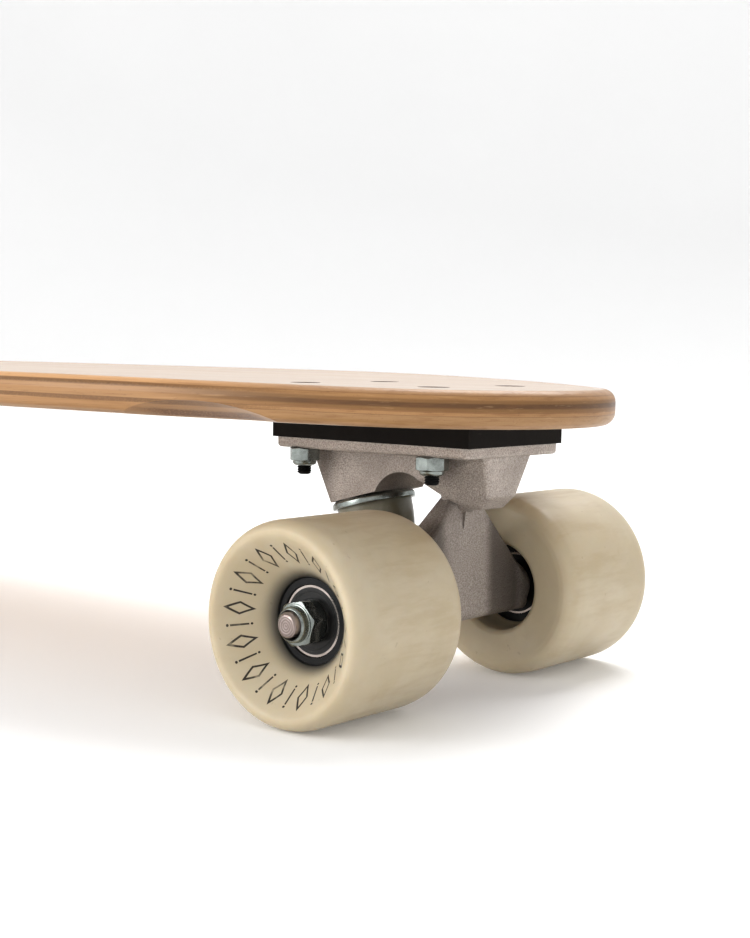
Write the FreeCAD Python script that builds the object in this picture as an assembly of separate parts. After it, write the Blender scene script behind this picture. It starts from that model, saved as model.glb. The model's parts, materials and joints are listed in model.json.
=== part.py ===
import FreeCAD, Part
import math
import os

# Small wooden cruiser skateboard. Millimetres, +Z up, floor at Z = 0, the origin under the middle of the
# board's length, +X towards the nose, +Y towards the left side.

# board
deck_length = 660.0
deck_width = 184.0
deck_thickness = 11.6
deck_edge_round = 4.2
deck_concave = 2.6  # how far each edge is raised
deck_flat_half = 34.0  # half-width of the level middle of the pressed board
nose_overhang = 71.0  # nose tip ahead of the front truck's bolt centre
nose_taper = 201.0  # length over which the nose rounds in
nose_power = 2.1
tail_taper = 150.0
tail_power = 2.7
waist_narrowing = 4.0  # how much narrower each side is at the tail end than at the widest
truck_spacing = 413.4
kick_start = 62.0  # start of the kicked tail behind the rear truck's bolt centre
kick_angle = 17.0
kick_radius = 150.0
well_depth = 5.0
well_length = 60.0
well_inset = 31.0  # centre of the wheel well, from the axle towards the board's middle
well_slope = 20.0

# riser pad
riser_length = 81.6
riser_width = 51.0
riser_thickness = 6.6
riser_shift = 3.7  # the pad reaches further towards the board's end

# truck
truck_height = 50.8  # axle centre to the baseplate's top
axle_offset = 17.4  # axle centre outward of the bolt centre
bolt_spacing_x = 53.98
bolt_spacing_y = 41.28
plate_margin = 0.4
plate_thickness = 3.45
plate_corner = 3.0
boss_half_width = 12.8
seat_x = -14.1
seat_drop = 20.0
kingpin_tilt = 15.0
pivot_x = 29.0
pivot_drop = 12.3
arch_x = 8.4
arch_drop = 22.3
arch_radius = 12.4
nose_drop = 20.7  # lowest point of the pivot housing

# kingpin stack
kingpin_diameter = 9.5
kingpin_head_flats = 14.3
washer_radius = 14.3
washer_thickness = 1.5
washer_lip = 1.4
upper_bushing_height = 13.0
upper_bushing_top_radius = 12.7
upper_bushing_low_radius = 11.9
lower_bushing_height = 10.5
lower_bushing_top_radius = 11.0
lower_bushing_low_radius = 9.0
lower_washer_radius = 10.4
ring_thickness = 8.0
ring_radius = 15.5
ring_hole_radius = 7.6
seat_rim_height = 1.6
kingpin_nut_height = 7.5

# pivot
pivot_pin_radius = 5.0
cup_wall = 2.2
pivot_arm_radius = 7.0

# fasteners
bolt_diameter = 4.76
bolt_head_diameter = 9.7
bolt_head_angle = 82.0
head_land = 0.4  # straight rim of the bolt's head
bolt_tip_length = 3.0
nut_flats = 9.5
nut_hex_height = 4.3
nut_collar_height = 1.6
nut_collar_radius = 3.9

# axle and wheels
axle_diameter = 7.9
hanger_half_width = 39.6
housing_radius = 9.0
wing_half_top = 5.8  # half-width of the hanger's body where it enters the baseplate
wing_half_low = 34.5
speed_washer_thickness = 0.9
speed_washer_radius = 5.9
bearing_bore = 8.0
bearing_diameter = 22.0
bearing_width = 7.0
bearing_gap = 10.0  # length of the spacer between the two bearings of a wheel
inner_race_radius = 6.0
outer_race_radius = 9.2
ball_radius = 1.98
ball_count = 7
shield_thickness = 0.4
wheel_diameter = 62.0
wheel_width = 51.0
wheel_inset = 12.0  # inner face of the wheel, inward of the inner bearing
wheel_outer_round = 9.0
wheel_inner_round = 8.0
core_wall = 2.5
core_overhang = 0.5
recess_radius = 15.0
axle_nut_flats = 12.7
axle_nut_height = 6.4
axle_collar_height = 2.6
axle_collar_radius = 5.3
axle_end_length = 1.6

# clearances
hole_clearance = 0.25
running_clearance = 0.05
shaft_clearance = 0.02
face_gap = 0.2

# derived positions
axle_z = wheel_diameter / 2
plate_top = axle_z + truck_height
deck_bottom = plate_top + riser_thickness
deck_top = deck_bottom + deck_thickness
front_x = deck_length / 2 - nose_overhang
rear_x = front_x - truck_spacing
hub_inner = hanger_half_width + speed_washer_thickness
hub_outer = hub_inner + 2 * bearing_width + bearing_gap
nut_start = hub_outer + speed_washer_thickness
wheel_inner_face = hub_inner - wheel_inset
wheel_outer_face = wheel_inner_face + wheel_width
core_radius = bearing_diameter / 2 + core_wall
bushing_start = washer_thickness
ring_start = bushing_start + upper_bushing_height + face_gap
ring_middle = ring_start + ring_thickness / 2
lower_start = ring_start + ring_thickness + face_gap
lower_washer_start = lower_start + lower_bushing_height
kingpin_nut_start = lower_washer_start + washer_thickness
kingpin_end = kingpin_nut_start + kingpin_nut_height + 2.0

vec = FreeCAD.Vector
tilt = math.radians(kingpin_tilt)
kingpin_dir = vec(math.sin(tilt), 0, -math.cos(tilt))
seat_point = vec(seat_x, 0, -seat_drop)
axle_point = vec(axle_offset, 0, -truck_height)
pivot_point = vec(pivot_x, 0, -pivot_drop)
ring_point = seat_point + kingpin_dir * ring_middle
steer_dir = (pivot_point - ring_point).normalize()


# basic shapes
def polygon_solid(points, half_width):
    """Prism across the truck from a side-view outline."""
    corners = [vec(x, -half_width, z) for x, z in points]
    face = Part.Face(Part.makePolygon(corners + corners[:1]))
    return face.extrude(vec(0, 2 * half_width, 0))


def turned(points, start, direction):
    """Solid of revolution from (distance along the axis, radius) pairs."""
    corners = [vec(radius, 0, along) for along, radius in points]
    face = Part.Face(Part.makePolygon(corners + corners[:1]))
    solid = face.revolve(vec(0, 0, 0), vec(0, 0, 1), 360)
    solid.Placement = FreeCAD.Placement(start, FreeCAD.Rotation(vec(0, 0, 1), direction))
    return solid


def rod(start, direction, low, high, radius):
    return Part.makeCylinder(radius, high - low, start + direction * low, direction)


def hexagon(flats, height, chamfer, start, direction):
    """Hexagonal prism with both ends turned down at the corners."""
    corner = flats / math.sqrt(3)
    ring = [vec(corner * math.cos(math.radians(60 * k)), corner * math.sin(math.radians(60 * k)), 0)
            for k in range(6)]
    prism = Part.Face(Part.makePolygon(ring + ring[:1])).extrude(vec(0, 0, height))
    slim = flats / 2 + 0.1
    envelope = turned([(0, 0), (0, slim), (chamfer, corner + 0.05), (height - chamfer, corner + 0.05),
                       (height, slim), (height, 0)], vec(0, 0, 0), vec(0, 0, 1))
    prism = prism.common(envelope)
    prism.Placement = FreeCAD.Placement(start, FreeCAD.Rotation(vec(0, 0, 1), direction))
    return prism


def rounded(shape, edges, radius):
    """Fillet, stepping the radius down to what the wall takes."""
    size = radius
    while size > 0.2:
        try:
            result = shape.makeFillet(size, edges)
            if result.isValid() and result.Volume > 0.5 * shape.Volume:
                return result
        except Part.OCCError:
            pass
        size *= 0.7
    return shape


def place(shape, end):
    """Moves a truck piece from the truck's own frame to the front or the rear."""
    moved = shape.copy()
    if end == "front":
        spot = FreeCAD.Placement(vec(front_x, 0, plate_top), FreeCAD.Rotation())
    else:
        spot = FreeCAD.Placement(vec(rear_x, 0, plate_top), FreeCAD.Rotation(vec(0, 0, 1), 180))
    moved.Placement = spot.multiply(moved.Placement)
    return moved


def save(shape, name):
    shape.exportStep("parts/" + name + ".step")


def bolt_spots():
    return [(sx * bolt_spacing_x / 2, sy * bolt_spacing_y / 2) for sx in (-1, 1) for sy in (-1, 1)]


# deck
def deck_half_width(x):
    half = deck_width / 2
    nose_start = deck_length / 2 - nose_taper
    tail_start = -deck_length / 2 + tail_taper
    if x > nose_start:
        u = (x - nose_start) / nose_taper
        return half * max(0.0, 1 - u ** nose_power) ** (1 / nose_power)
    run = (nose_start - x) / (nose_start + deck_length / 2)
    wide = half - waist_narrowing * run ** 2
    if x >= tail_start:
        return wide
    u = (tail_start - x) / tail_taper
    return wide * max(0.0, 1 - u ** tail_power) ** (1 / tail_power)


def deck_outline():
    """Closed smooth curve round the deck, seen from above."""
    steps = 14
    nose_start = deck_length / 2 - nose_taper
    tail_start = -deck_length / 2 + tail_taper
    nose = [nose_start + nose_taper * math.sin(math.radians(90 * k / steps)) for k in range(steps + 1)]
    tail = [tail_start - tail_taper * math.sin(math.radians(90 * k / steps)) for k in range(steps + 1)]
    middle = [tail_start + (nose_start - tail_start) * k / 6 for k in range(1, 6)]
    xs = list(reversed(tail)) + middle + nose
    left = [vec(x, deck_half_width(x), 0) for x in xs]
    right = [vec(p.x, -p.y, 0) for p in reversed(left[1:-1])]
    curve = Part.BSplineCurve()
    curve.interpolate(Points=left + right, PeriodicFlag=True)
    return Part.Face(Part.Wire(curve.toShape()))


def concave_profile(x):
    """Cross-section of the pressed board: level in the middle, edges curving up."""
    half = deck_width / 2 + 8
    slant = deck_width / 2 - deck_flat_half
    radius = (slant ** 2 + deck_concave ** 2) / (2 * deck_concave)
    edges = []
    for base in (deck_bottom, deck_top):
        line = {}
        for side in (-1, 1):
            spots = []
            for step in (0, 0.5, 1):
                out = step * (half - deck_flat_half)
                rise = radius - math.sqrt(radius ** 2 - out ** 2)
                spots.append(vec(x, side * (deck_flat_half + out), base + rise))
            edges.append(Part.Arc(*spots).toShape())
            line[side] = spots[0]
        edges.append(Part.makeLine(line[-1], line[1]))
    rise = radius - math.sqrt(radius ** 2 - (half - deck_flat_half) ** 2)
    for side in (-1, 1):
        low = vec(x, side * half, deck_bottom + rise)
        edges.append(Part.makeLine(low, low + vec(0, 0, deck_thickness)))
    return Part.Face(Part.Wire(Part.__sortEdges__(edges)))


def edge_rise(y):
    """How far the pressed board stands above its middle at this distance from it."""
    slant = deck_width / 2 - deck_flat_half
    radius = (slant ** 2 + deck_concave ** 2) / (2 * deck_concave)
    out = max(0.0, abs(y) - deck_flat_half)
    return radius - math.sqrt(radius ** 2 - out ** 2)


def deck():
    bend_x = rear_x - kick_start
    flat_end = deck_length / 2 + 10
    flat = concave_profile(bend_x).extrude(vec(flat_end - bend_x, 0, 0))
    pivot = vec(bend_x, 0, deck_top + kick_radius)
    bend = concave_profile(bend_x).revolve(pivot, vec(0, 1, 0), kick_angle)
    kick = concave_profile(bend_x).extrude(vec(-deck_length, 0, 0))
    kick.rotate(pivot, vec(0, 1, 0), kick_angle)
    slab = flat.fuse([bend, kick]).removeSplitter()
    outline = deck_outline().extrude(vec(0, 0, 400))
    board = slab.common(outline)
    rim = []
    for edge in board.Edges:
        faces = board.ancestorsOfType(edge, Part.Face)
        upright = [f for f in faces if abs(f.normalAt(*f.Surface.parameter(f.CenterOfMass)).z) < 0.05]
        if len(faces) == 2 and len(upright) == 1:
            rim.append(edge)
    board = rounded(board, rim, deck_edge_round)
    for shape in wheel_wells():
        board = board.cut(shape)
    for end in ("front", "rear"):
        for x, y in bolt_spots():
            board = board.cut(place(mounting_hole(x, y), end))
    return board


def mounting_hole(x, y):
    """Countersunk hole for one bolt, in the truck's own frame."""
    lift = riser_thickness + deck_thickness
    radius = bolt_diameter / 2 + hole_clearance
    top = lift + deck_concave
    head = bolt_head_diameter / 2 + hole_clearance
    depth = (head - radius) / math.tan(math.radians(bolt_head_angle / 2))
    sink = head_top() - head_land
    return turned([(-20, 0), (-20, radius), (sink - depth, radius), (sink, head), (top, head), (top, 0)],
                  vec(x, y, 0), vec(0, 0, 1))


def head_top():
    """Height of the bolt heads' faces above the baseplate, just under the deck's top."""
    return riser_thickness + deck_thickness - 0.1


def wheel_wells():
    """Long shallow scoops along the deck's lower edges, above the wheels."""
    shapes = []
    radius = (well_length ** 2 / 4 + well_depth ** 2) / (2 * well_depth)
    slope = math.radians(well_slope)
    for centre in (front_x + axle_offset - well_inset, rear_x - axle_offset + well_inset):
        edge_y = deck_half_width(centre)
        rise = edge_rise(edge_y)
        for side in (-1, 1):
            inward = vec(0, -side * math.cos(slope), -math.sin(slope))
            down = vec(0, side * math.sin(slope), -math.cos(slope))
            top = vec(centre, side * edge_y, deck_bottom + rise + well_depth)
            start = top + down * radius - inward * 25
            shapes.append(Part.makeCylinder(radius, 60, start, inward))
    return shapes


# truck pieces, each in the truck's own frame: baseplate top at Z = 0, +X towards the board's end
def riser_pad():
    pad = Part.makeBox(riser_length, riser_width, riser_thickness,
                       vec(riser_shift - riser_length / 2, -riser_width / 2, 0))
    for x, y in bolt_spots():
        pad = pad.cut(rod(vec(x, y, 0), vec(0, 0, 1), -1, riser_thickness + 1,
                          bolt_diameter / 2 + hole_clearance))
    return pad


def baseplate():
    length = riser_length - 2 * plate_margin
    width = riser_width - 2 * plate_margin
    left = riser_shift - length / 2
    right = riser_shift + length / 2
    flange = Part.makeBox(length, width, plate_thickness, vec(left, -width / 2, -plate_thickness))
    upright = [e for e in flange.Edges if abs(e.tangentAt(e.FirstParameter).z) > 0.9]
    flange = rounded(flange, upright, plate_corner)
    low = [e for e in flange.Edges if abs(e.BoundBox.ZMax + plate_thickness) < 0.01]
    flange = rounded(flange, low, 1.2)
    web = truck_boss(right)
    plate = flange.fuse(web).removeSplitter()
    plate = plate.cut(rod(seat_point, kingpin_dir, -40, 5, kingpin_diameter / 2 + shaft_clearance))
    plate = plate.cut(hexagon(kingpin_head_flats + 0.1, 12, 0.3, seat_point - kingpin_dir * 24.5,
                              kingpin_dir))
    cup = pivot_pin_radius + running_clearance + cup_wall
    plate = plate.cut(rod(pivot_point, steer_dir, -3.5, 5.5, cup + shaft_clearance))
    plate = plate.cut(rod(pivot_point, steer_dir, -30, -3.4, pivot_arm_radius + 1.4))
    for x, y in bolt_spots():
        plate = plate.cut(rod(vec(x, y, 0), vec(0, 0, 1), -20, 1, bolt_diameter / 2 + hole_clearance))
        plate = plate.cut(rod(vec(x, y, 0), vec(0, 0, 1), -20, -plate_thickness, nut_flats / 2 + 1.9))
    return plate.common(Part.makeBox(200, 200, 100, vec(-100, -100, -100)))


def truck_boss(right):
    """Cast block under the flange: kingpin seat, arch and pivot housing."""
    seat_normal = vec(math.cos(tilt), 0, math.sin(tilt))
    seat_left = seat_point - seat_normal * 9.0
    seat_right = seat_point + seat_normal * 12.0
    under = -plate_thickness / 2
    mouth = pivot_point - steer_dir * 3.5 + vec(steer_dir.z, 0, -steer_dir.x) * 7.2
    arch_end = vec(arch_x + 0.55 * arch_radius, 0, -arch_drop + 0.835 * arch_radius)
    block = polygon_solid([(seat_left.x - 10.1, under), (seat_left.x, seat_left.z), (seat_right.x, seat_right.z),
                           (arch_x, -arch_drop), (arch_end.x, arch_end.z), (mouth.x - 3.0, mouth.z + 0.9),
                           (mouth.x + 0.8, -nose_drop), (mouth.x + 5.6, -nose_drop),
                           (right - 4.2, pivot_point.z - 4.0), (right - 2.0, under)], boss_half_width)
    for side in (-1, 1):
        outer = vec(right - 2.6, side * boss_half_width, -plate_thickness)
        inner = vec(arch_end.x, side * boss_half_width, arch_end.z)
        low = vec(mouth.x + 5.6, side * boss_half_width / 2, -nose_drop)
        normal = (outer - inner).cross(low - inner)
        block = block.cut(beyond(inner, normal * (1 if normal.y * side > 0 else -1)))
    soft = [e for e in block.Edges if e.BoundBox.ZMax < under - 0.5 and e.BoundBox.XMin > arch_end.x + 3.0]
    block = rounded(block, soft, 2.2)
    seat_edges = [e for e in block.Edges if e.BoundBox.YLength < 0.01 and e.BoundBox.XMax < seat_left.x + 1.0]
    block = rounded(block, seat_edges, 1.6)
    return block.cut(rod(vec(arch_x, 0, -arch_drop), vec(0, 1, 0), -40, 40, arch_radius))


def beyond(point, normal):
    """Large block covering everything past a plane."""
    block = Part.makeBox(200, 200, 100, vec(-100, -100, 0))
    block.Placement = FreeCAD.Placement(point, FreeCAD.Rotation(vec(0, 0, 1), normal))
    return block


def pivot_cup():
    socket = pivot_pin_radius + running_clearance
    cup = socket + cup_wall
    return turned([(-3.5, socket), (-3.5, cup), (5.5, cup), (5.5, 0), (3.6, 0), (3.6, socket - 0.6),
                   (3.0, socket)], pivot_point, steer_dir)


def kingpin():
    radius = kingpin_diameter / 2
    shank = turned([(-20, 0), (-20, radius), (kingpin_end - 1, radius), (kingpin_end, radius - 1),
                    (kingpin_end, 0)], seat_point, kingpin_dir)
    head = hexagon(kingpin_head_flats, 6.0, 0.8, seat_point - kingpin_dir * 20.0, kingpin_dir)
    room = Part.makeBox(200, 200, 100, vec(-100, -100, -100.3))
    return shank.fuse(head).removeSplitter().common(room)


def upper_washer():
    hole = kingpin_diameter / 2 + hole_clearance
    return turned([(0, hole), (0, washer_radius - 1.0), (1.0, washer_radius),
                   (washer_thickness + washer_lip, washer_radius),
                   (washer_thickness + washer_lip, washer_radius - 0.9),
                   (washer_thickness, washer_radius - 1.6), (washer_thickness, hole)],
                  seat_point, kingpin_dir)


def upper_bushing():
    hole = kingpin_diameter / 2 + hole_clearance
    end = bushing_start + upper_bushing_height
    return turned([(bushing_start, hole), (bushing_start, upper_bushing_top_radius - 0.6),
                   (bushing_start + 0.8, upper_bushing_top_radius),
                   (end - 0.8, upper_bushing_low_radius), (end, upper_bushing_low_radius - 0.8),
                   (end, hole)], seat_point, kingpin_dir)


def lower_bushing():
    hole = kingpin_diameter / 2 + hole_clearance
    end = lower_start + lower_bushing_height
    return turned([(lower_start, hole), (lower_start, lower_bushing_top_radius - 0.8),
                   (lower_start + 0.8, lower_bushing_top_radius), (end - 0.8, lower_bushing_low_radius),
                   (end, lower_bushing_low_radius - 0.6), (end, hole)], seat_point, kingpin_dir)


def lower_washer():
    hole = kingpin_diameter / 2 + hole_clearance
    start = lower_washer_start
    return turned([(start, hole), (start, lower_bushing_low_radius + 0.3),
                   (start - 0.9, lower_washer_radius - 0.4), (start - 0.9, lower_washer_radius),
                   (start + 0.7, lower_washer_radius), (start + washer_thickness, lower_washer_radius - 0.9),
                   (start + washer_thickness, hole)], seat_point, kingpin_dir)


def kingpin_nut():
    start = seat_point + kingpin_dir * kingpin_nut_start
    body = hexagon(kingpin_head_flats, kingpin_nut_height - 2.0, 0.9, start, kingpin_dir)
    collar = turned([(kingpin_nut_height - 2.1, 0), (kingpin_nut_height - 2.1, 6.4),
                     (kingpin_nut_height - 0.5, 6.4), (kingpin_nut_height, 5.8), (kingpin_nut_height, 0)],
                    start, kingpin_dir)
    hole = rod(start, kingpin_dir, -2, kingpin_nut_height + 2, kingpin_diameter / 2 + shaft_clearance)
    return body.fuse(collar).removeSplitter().cut(hole)


def hanger():
    seat_up = vec(kingpin_dir.z, 0, -kingpin_dir.x) * -1
    ring = turned([(ring_start - seat_rim_height, upper_bushing_low_radius + 0.6),
                   (ring_start - seat_rim_height, ring_radius - 0.8), (ring_start, ring_radius),
                   (ring_start + ring_thickness, ring_radius),
                   (ring_start + ring_thickness + seat_rim_height, ring_radius - 1.2),
                   (ring_start + ring_thickness + seat_rim_height, lower_bushing_top_radius + 0.6),
                   (ring_start + ring_thickness, lower_bushing_top_radius + 0.6),
                   (ring_start + ring_thickness, ring_hole_radius), (ring_start, ring_hole_radius),
                   (ring_start, upper_bushing_low_radius + 0.6)], seat_point, kingpin_dir)
    taper = 4.0
    housing = turned([(-hanger_half_width, 0), (-hanger_half_width, speed_washer_radius + 0.8),
                      (-hanger_half_width + taper, housing_radius), (hanger_half_width - taper, housing_radius),
                      (hanger_half_width, speed_washer_radius + 0.8), (hanger_half_width, 0)],
                     axle_point, vec(0, 1, 0))
    wing = wing_block()
    ring_edge = ring_point + seat_up * (ring_radius - 3.0)
    keel = polygon_solid([(ring_edge.x, ring_edge.z + 3.6), (pivot_x - 11.0, ring_edge.z + 8.0),
                          (pivot_x - 7.0, ring_edge.z + 8.0), (axle_point.x + 6.0, axle_point.z + 4.0),
                          (axle_point.x + 4.0, axle_point.z), (axle_point.x - 6.0, axle_point.z - 2.0),
                          (ring_edge.x, ring_edge.z - 4.2)], pivot_arm_radius - 0.8)
    arm = rod(pivot_point, steer_dir, -10.0, -4.2, pivot_arm_radius)
    body = housing.fuse([wing, keel, arm]).removeSplitter()
    stack_room = rod(seat_point, kingpin_dir, -5, ring_start - seat_rim_height, washer_radius + 2.2)
    low_room = rod(seat_point, kingpin_dir, ring_start + ring_thickness, kingpin_end + 20,
                   lower_washer_radius + 2.3)
    body = body.cut([stack_room, low_room, rod(seat_point, kingpin_dir, 0, 80, ring_radius - 1.5)])
    pin = turned([(-5.0, 0), (-5.0, pivot_pin_radius), (1.2, pivot_pin_radius), (2.6, pivot_pin_radius - 1.0),
                  (3.2, pivot_pin_radius - 2.6), (3.2, 0)], pivot_point, steer_dir)
    body = body.fuse([ring, pin]).removeSplitter()
    for side in (-1, 1):
        body = body.cut(edge_groove(side))
    bore = rod(axle_point, vec(0, 1, 0), -60, 60, axle_diameter / 2 + shaft_clearance)
    return body.cut(bore)


def wing_block():
    """Triangular body standing over the axle housing, its top entering the pivot housing."""
    low_z = axle_point.z - 7.4
    knee_z = axle_point.z + 4.3
    face_x = axle_point.x + housing_radius
    top_z = wing_top()
    side_view = [(axle_point.x - 7.6, low_z), (face_x, low_z), (face_x - 0.8, top_z),
                 (pivot_point.x - 10.0, top_z), (axle_point.x - 7.0, axle_point.z)]
    slab = polygon_solid(side_view, hanger_half_width)
    low, top = wing_half_low, wing_half_top
    corners = [vec(-60, y, z) for y, z in ((-low, low_z), (low, low_z), (low, knee_z), (top, top_z),
                                           (-top, top_z), (-low, knee_z))]
    front_view = Part.Face(Part.makePolygon(corners + corners[:1])).extrude(vec(200, 0, 0))
    block = slab.common(front_view)
    below = [e for e in block.Edges if e.BoundBox.ZMin < low_z + 0.1 and e.BoundBox.YLength > 5]
    block = rounded(block, below, 3.0)
    slanted = [e for e in block.Edges if e.BoundBox.ZLength > 15 and e.BoundBox.YLength > 15]
    block = rounded(block, slanted, 1.6)
    rib = polygon_solid([(face_x - 1.0, top_z), (face_x + 0.9, top_z), (face_x - 0.4, top_z - 10.5)], 2.2)
    return block.fuse(rib)


def wing_top():
    return -nose_drop + 3.4


def edge_groove(side):
    """Cast groove along the slanted side of the body, close to its outboard face."""
    rise = (wing_top() - axle_point.z - 4.3) / (wing_half_low - wing_half_top)
    x = axle_point.x + housing_radius - 2.6
    high = vec(x, side * (wing_half_top + 0.5), wing_top())
    reach = wing_half_low - wing_half_top - 6.0
    low = high + vec(0, side * reach, -rise * reach)
    run = low - high
    return Part.makeCylinder(0.9, run.Length, high, run)


def axle():
    end = nut_start + axle_nut_height + axle_collar_height + axle_end_length
    radius = axle_diameter / 2
    return turned([(-end, 0), (-end, radius - 0.8), (-end + 0.8, radius), (end - 0.8, radius),
                   (end, radius - 0.8), (end, 0)], axle_point, vec(0, 1, 0))


def on_axle(points):
    """Turned piece on the axle and its twin on the other side."""
    one = turned(points, axle_point, vec(0, 1, 0))
    two = turned([(-along, radius) for along, radius in points], axle_point, vec(0, 1, 0))
    return [one, two]


def speed_washers():
    hole = axle_diameter / 2 + shaft_clearance
    solids = []
    for start in (hanger_half_width, hub_outer):
        end = start + speed_washer_thickness
        solids += on_axle([(start, hole), (start, speed_washer_radius), (end, speed_washer_radius),
                           (end, hole)])
    return Part.makeCompound(solids)


def axle_nuts():
    solids = []
    hole = rod(axle_point, vec(0, 1, 0), -100, 100, axle_diameter / 2 + shaft_clearance)
    for side in (-1, 1):
        out = vec(0, side, 0)
        start = axle_point + out * nut_start
        body = hexagon(axle_nut_flats, axle_nut_height, 0.9, start, out)
        top = axle_nut_height + axle_collar_height
        collar = turned([(axle_nut_height - 0.1, 0), (axle_nut_height - 0.1, axle_collar_radius + 0.5),
                         (axle_nut_height + 0.4, axle_collar_radius + 0.3), (top - 0.8, axle_collar_radius),
                         (top, axle_collar_radius - 0.8), (top, 0)], start, out)
        solids.append(body.fuse(collar).removeSplitter().cut(hole))
    return Part.makeCompound(solids)


def bearing_starts():
    return (hub_inner, hub_inner + bearing_width + bearing_gap)


def ball_groove(start, extra):
    middle = start + bearing_width / 2
    pitch = (inner_race_radius + outer_race_radius) / 2
    return Part.makeTorus(pitch, ball_radius + extra, axle_point + vec(0, middle, 0), vec(0, 1, 0))


def mirrored(shape):
    return shape.mirror(axle_point, vec(0, 1, 0))


def inner_races():
    hole = axle_diameter / 2 + shaft_clearance
    solids = []
    for start in bearing_starts():
        end = start + bearing_width
        race = turned([(start, hole), (start, inner_race_radius - 0.3), (start + 0.3, inner_race_radius),
                       (end - 0.3, inner_race_radius), (end, inner_race_radius - 0.3), (end, hole)],
                      axle_point, vec(0, 1, 0)).cut(ball_groove(start, running_clearance))
        solids += [race, mirrored(race)]
    return Part.makeCompound(solids)


def spacers():
    hole = axle_diameter / 2 + running_clearance
    start = hub_inner + bearing_width
    end = start + bearing_gap
    radius = inner_race_radius - 0.6
    return Part.makeCompound(on_axle([(start, hole), (start, radius), (end, radius), (end, hole)]))


# wheel pieces, made on the truck's +Y side; the other side is their mirror image
def tyre():
    inner = wheel_inner_face
    outer = wheel_outer_face
    radius = wheel_diameter / 2
    start = hub_inner - core_overhang
    end = hub_outer + core_overhang
    crest = radius - 4.2
    straight = [(radius, inner + wheel_inner_round), (radius, outer - wheel_outer_round)]
    outer_curve = [straight[1], (radius - 0.28, outer - 0.58 * wheel_outer_round),
                   (radius - 1.15, outer - 0.2 * wheel_outer_round),
                   (radius - 2.4, outer - 0.045 * wheel_outer_round), (crest, outer)]
    inner_curve = [(radius - 5.0, inner), (radius - 3.3, inner + 0.05 * wheel_inner_round),
                   (radius - 1.8, inner + 0.22 * wheel_inner_round),
                   (radius - 0.5, inner + 0.58 * wheel_inner_round), straight[0]]
    slope = (outer - end - 1.2) / (crest - core_radius)
    dish = [(crest, outer), (crest - 1.9, outer - 0.9), (core_radius + 7.4, end + 1.2 + slope * 6.4),
            (core_radius + 2.0, end + 1.6 + slope * 1.0), (core_radius, end)]
    throat = [(core_radius, start), (core_radius + 1.0, start - 1.0), (recess_radius, start - 3.0),
              (recess_radius, inner + 1.2), (recess_radius + 1.2, inner)]
    edges = [curve_edge(outer_curve, (0, 1), (-1, 0)), curve_edge(dish, (-1, 0), None),
             line_edge(dish[-1], throat[0])]
    edges += [line_edge(a, b) for a, b in zip(throat, throat[1:])]
    edges += [line_edge(throat[-1], inner_curve[0]), curve_edge(inner_curve, (1, 0), (0, 1)),
              line_edge(*straight)]
    face = Part.Face(Part.Wire(Part.__sortEdges__(edges)))
    return face.revolve(axle_point, vec(0, 1, 0), 360)


def section_point(pair):
    return axle_point + vec(0, pair[1], pair[0])


def line_edge(a, b):
    return Part.makeLine(section_point(a), section_point(b))


def curve_edge(points, first, last):
    """Smooth edge of a wheel section, with its end directions as (outward, along the axle) pairs."""
    curve = Part.BSplineCurve()
    spots = [section_point(p) for p in points]
    if last is None:
        last = (points[-1][0] - points[-2][0], points[-1][1] - points[-2][1])
    curve.interpolate(Points=spots, InitialTangent=vec(0, first[1], first[0]) * 4,
                      FinalTangent=vec(0, last[1], last[0]) * 4)
    return curve.toShape()


def core():
    start = hub_inner - core_overhang
    end = hub_outer + core_overhang
    seat = bearing_diameter / 2
    first = hub_inner + bearing_width
    second = first + bearing_gap
    return turned([(start, seat), (start, core_radius), (end, core_radius), (end, seat), (second, seat),
                   (second, seat - 1.6), (first, seat - 1.6), (first, seat)], axle_point, vec(0, 1, 0))


def outer_races():
    solids = []
    seat = bearing_diameter / 2
    for start in bearing_starts():
        end = start + bearing_width
        race = turned([(start, outer_race_radius), (start, seat - 0.3), (start + 0.3, seat),
                       (end - 0.3, seat), (end, seat - 0.3), (end, outer_race_radius)],
                      axle_point, vec(0, 1, 0)).cut(ball_groove(start, 0.0))
        solids.append(race)
    return solids


def balls():
    solids = []
    pitch = (inner_race_radius + outer_race_radius) / 2
    for start in bearing_starts():
        for k in range(ball_count):
            angle = math.radians(360 * k / ball_count)
            spot = vec(pitch * math.cos(angle), start + bearing_width / 2, pitch * math.sin(angle))
            solids.append(Part.makeSphere(ball_radius - 0.005, axle_point + spot))
    return solids


def shields():
    solids = []
    small = inner_race_radius + 0.3
    for start in bearing_starts():
        for low in (start + 0.15, start + bearing_width - 0.15 - shield_thickness):
            high = low + shield_thickness
            solids.append(turned([(low, small), (low, outer_race_radius), (high, outer_race_radius),
                                  (high, small)], axle_point, vec(0, 1, 0)))
    return solids


# fasteners
def mounting_bolts():
    solids = []
    radius = bolt_diameter / 2
    head = bolt_head_diameter / 2
    depth = (head - radius) / math.tan(math.radians(bolt_head_angle / 2))
    tip = -plate_thickness - nut_hex_height - nut_collar_height - bolt_tip_length
    top = head_top()
    for x, y in bolt_spots():
        bolt = turned([(tip, 0), (tip, radius - 0.5), (tip + 0.5, radius), (top - head_land - depth, radius),
                       (top - head_land, head), (top, head), (top, 0)], vec(x, y, 0), vec(0, 0, 1))
        slot = turned([(top - 1.8, 0), (top - 1.8, 1.4), (top + 1, 1.4), (top + 1, 0)],
                      vec(x, y, 0), vec(0, 0, 1))
        solids.append(bolt.cut(slot))
    return Part.makeCompound(solids)


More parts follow.
